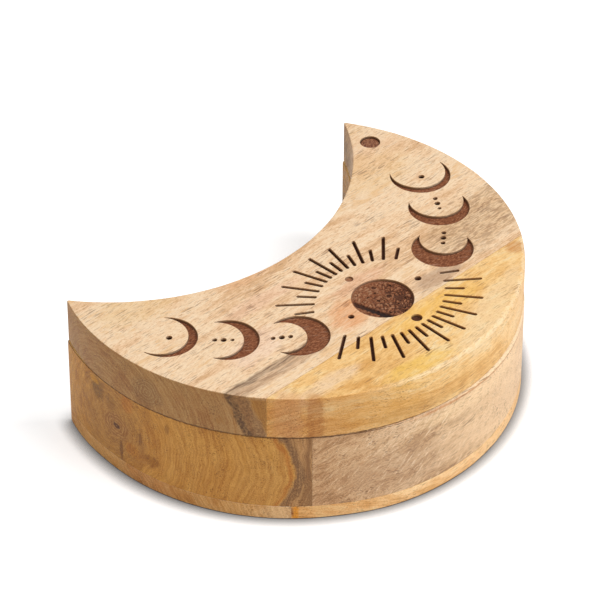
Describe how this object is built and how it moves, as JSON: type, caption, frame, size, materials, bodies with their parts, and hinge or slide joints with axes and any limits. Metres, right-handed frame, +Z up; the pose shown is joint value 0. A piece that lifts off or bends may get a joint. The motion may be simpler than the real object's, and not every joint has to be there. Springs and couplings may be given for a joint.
{
  "type": "moon-shaped keepsake box",
  "caption": "Crescent-shaped wooden keepsake box whose carved lid swivels sideways on a screw near one tip.",
  "frame": {"origin": "on the table, under the middle of the box's bounding box", "axes": "+X towards the tip that holds the pivot, +Y towards the hollow side of the crescent, +Z up"},
  "size_m": [0.18, 0.1326, 0.0579],
  "materials": {
    "pale_mango_wood": "sanded, clear satin",
    "golden_mango_wood": "sanded, clear satin",
    "brown_mango_wood": "sanded, clear satin",
    "sand_mango_wood": "sanded, clear satin",
    "stained_wood": "dark reddish-brown stain, matt",
    "plated_steel": "zinc-plated, satin",
    "white_nylon": "matt"
  },
  "bodies": {
    "box_body": {"wall_rear_block": "brown_mango_wood", "wall_front_block": "sand_mango_wood", "base_rear_board": "sand_mango_wood", "base_front_board": "golden_mango_wood", "pivot_screw": "plated_steel", "head_washer": "plated_steel", "pivot_washer": "white_nylon"},
    "lid": {"lid_rear_board": "pale_mango_wood", "lid_front_board": "golden_mango_wood", "pivot_plug": "stained_wood"}
  },
  "joints": [
    {"name": "lid_swivel", "type": "hinge", "parent": "box_body", "child": "lid", "pos_m": [0.07538, 0.04931, 0.0394], "axis": [0, 0, 1], "continuous": true}
  ]
}
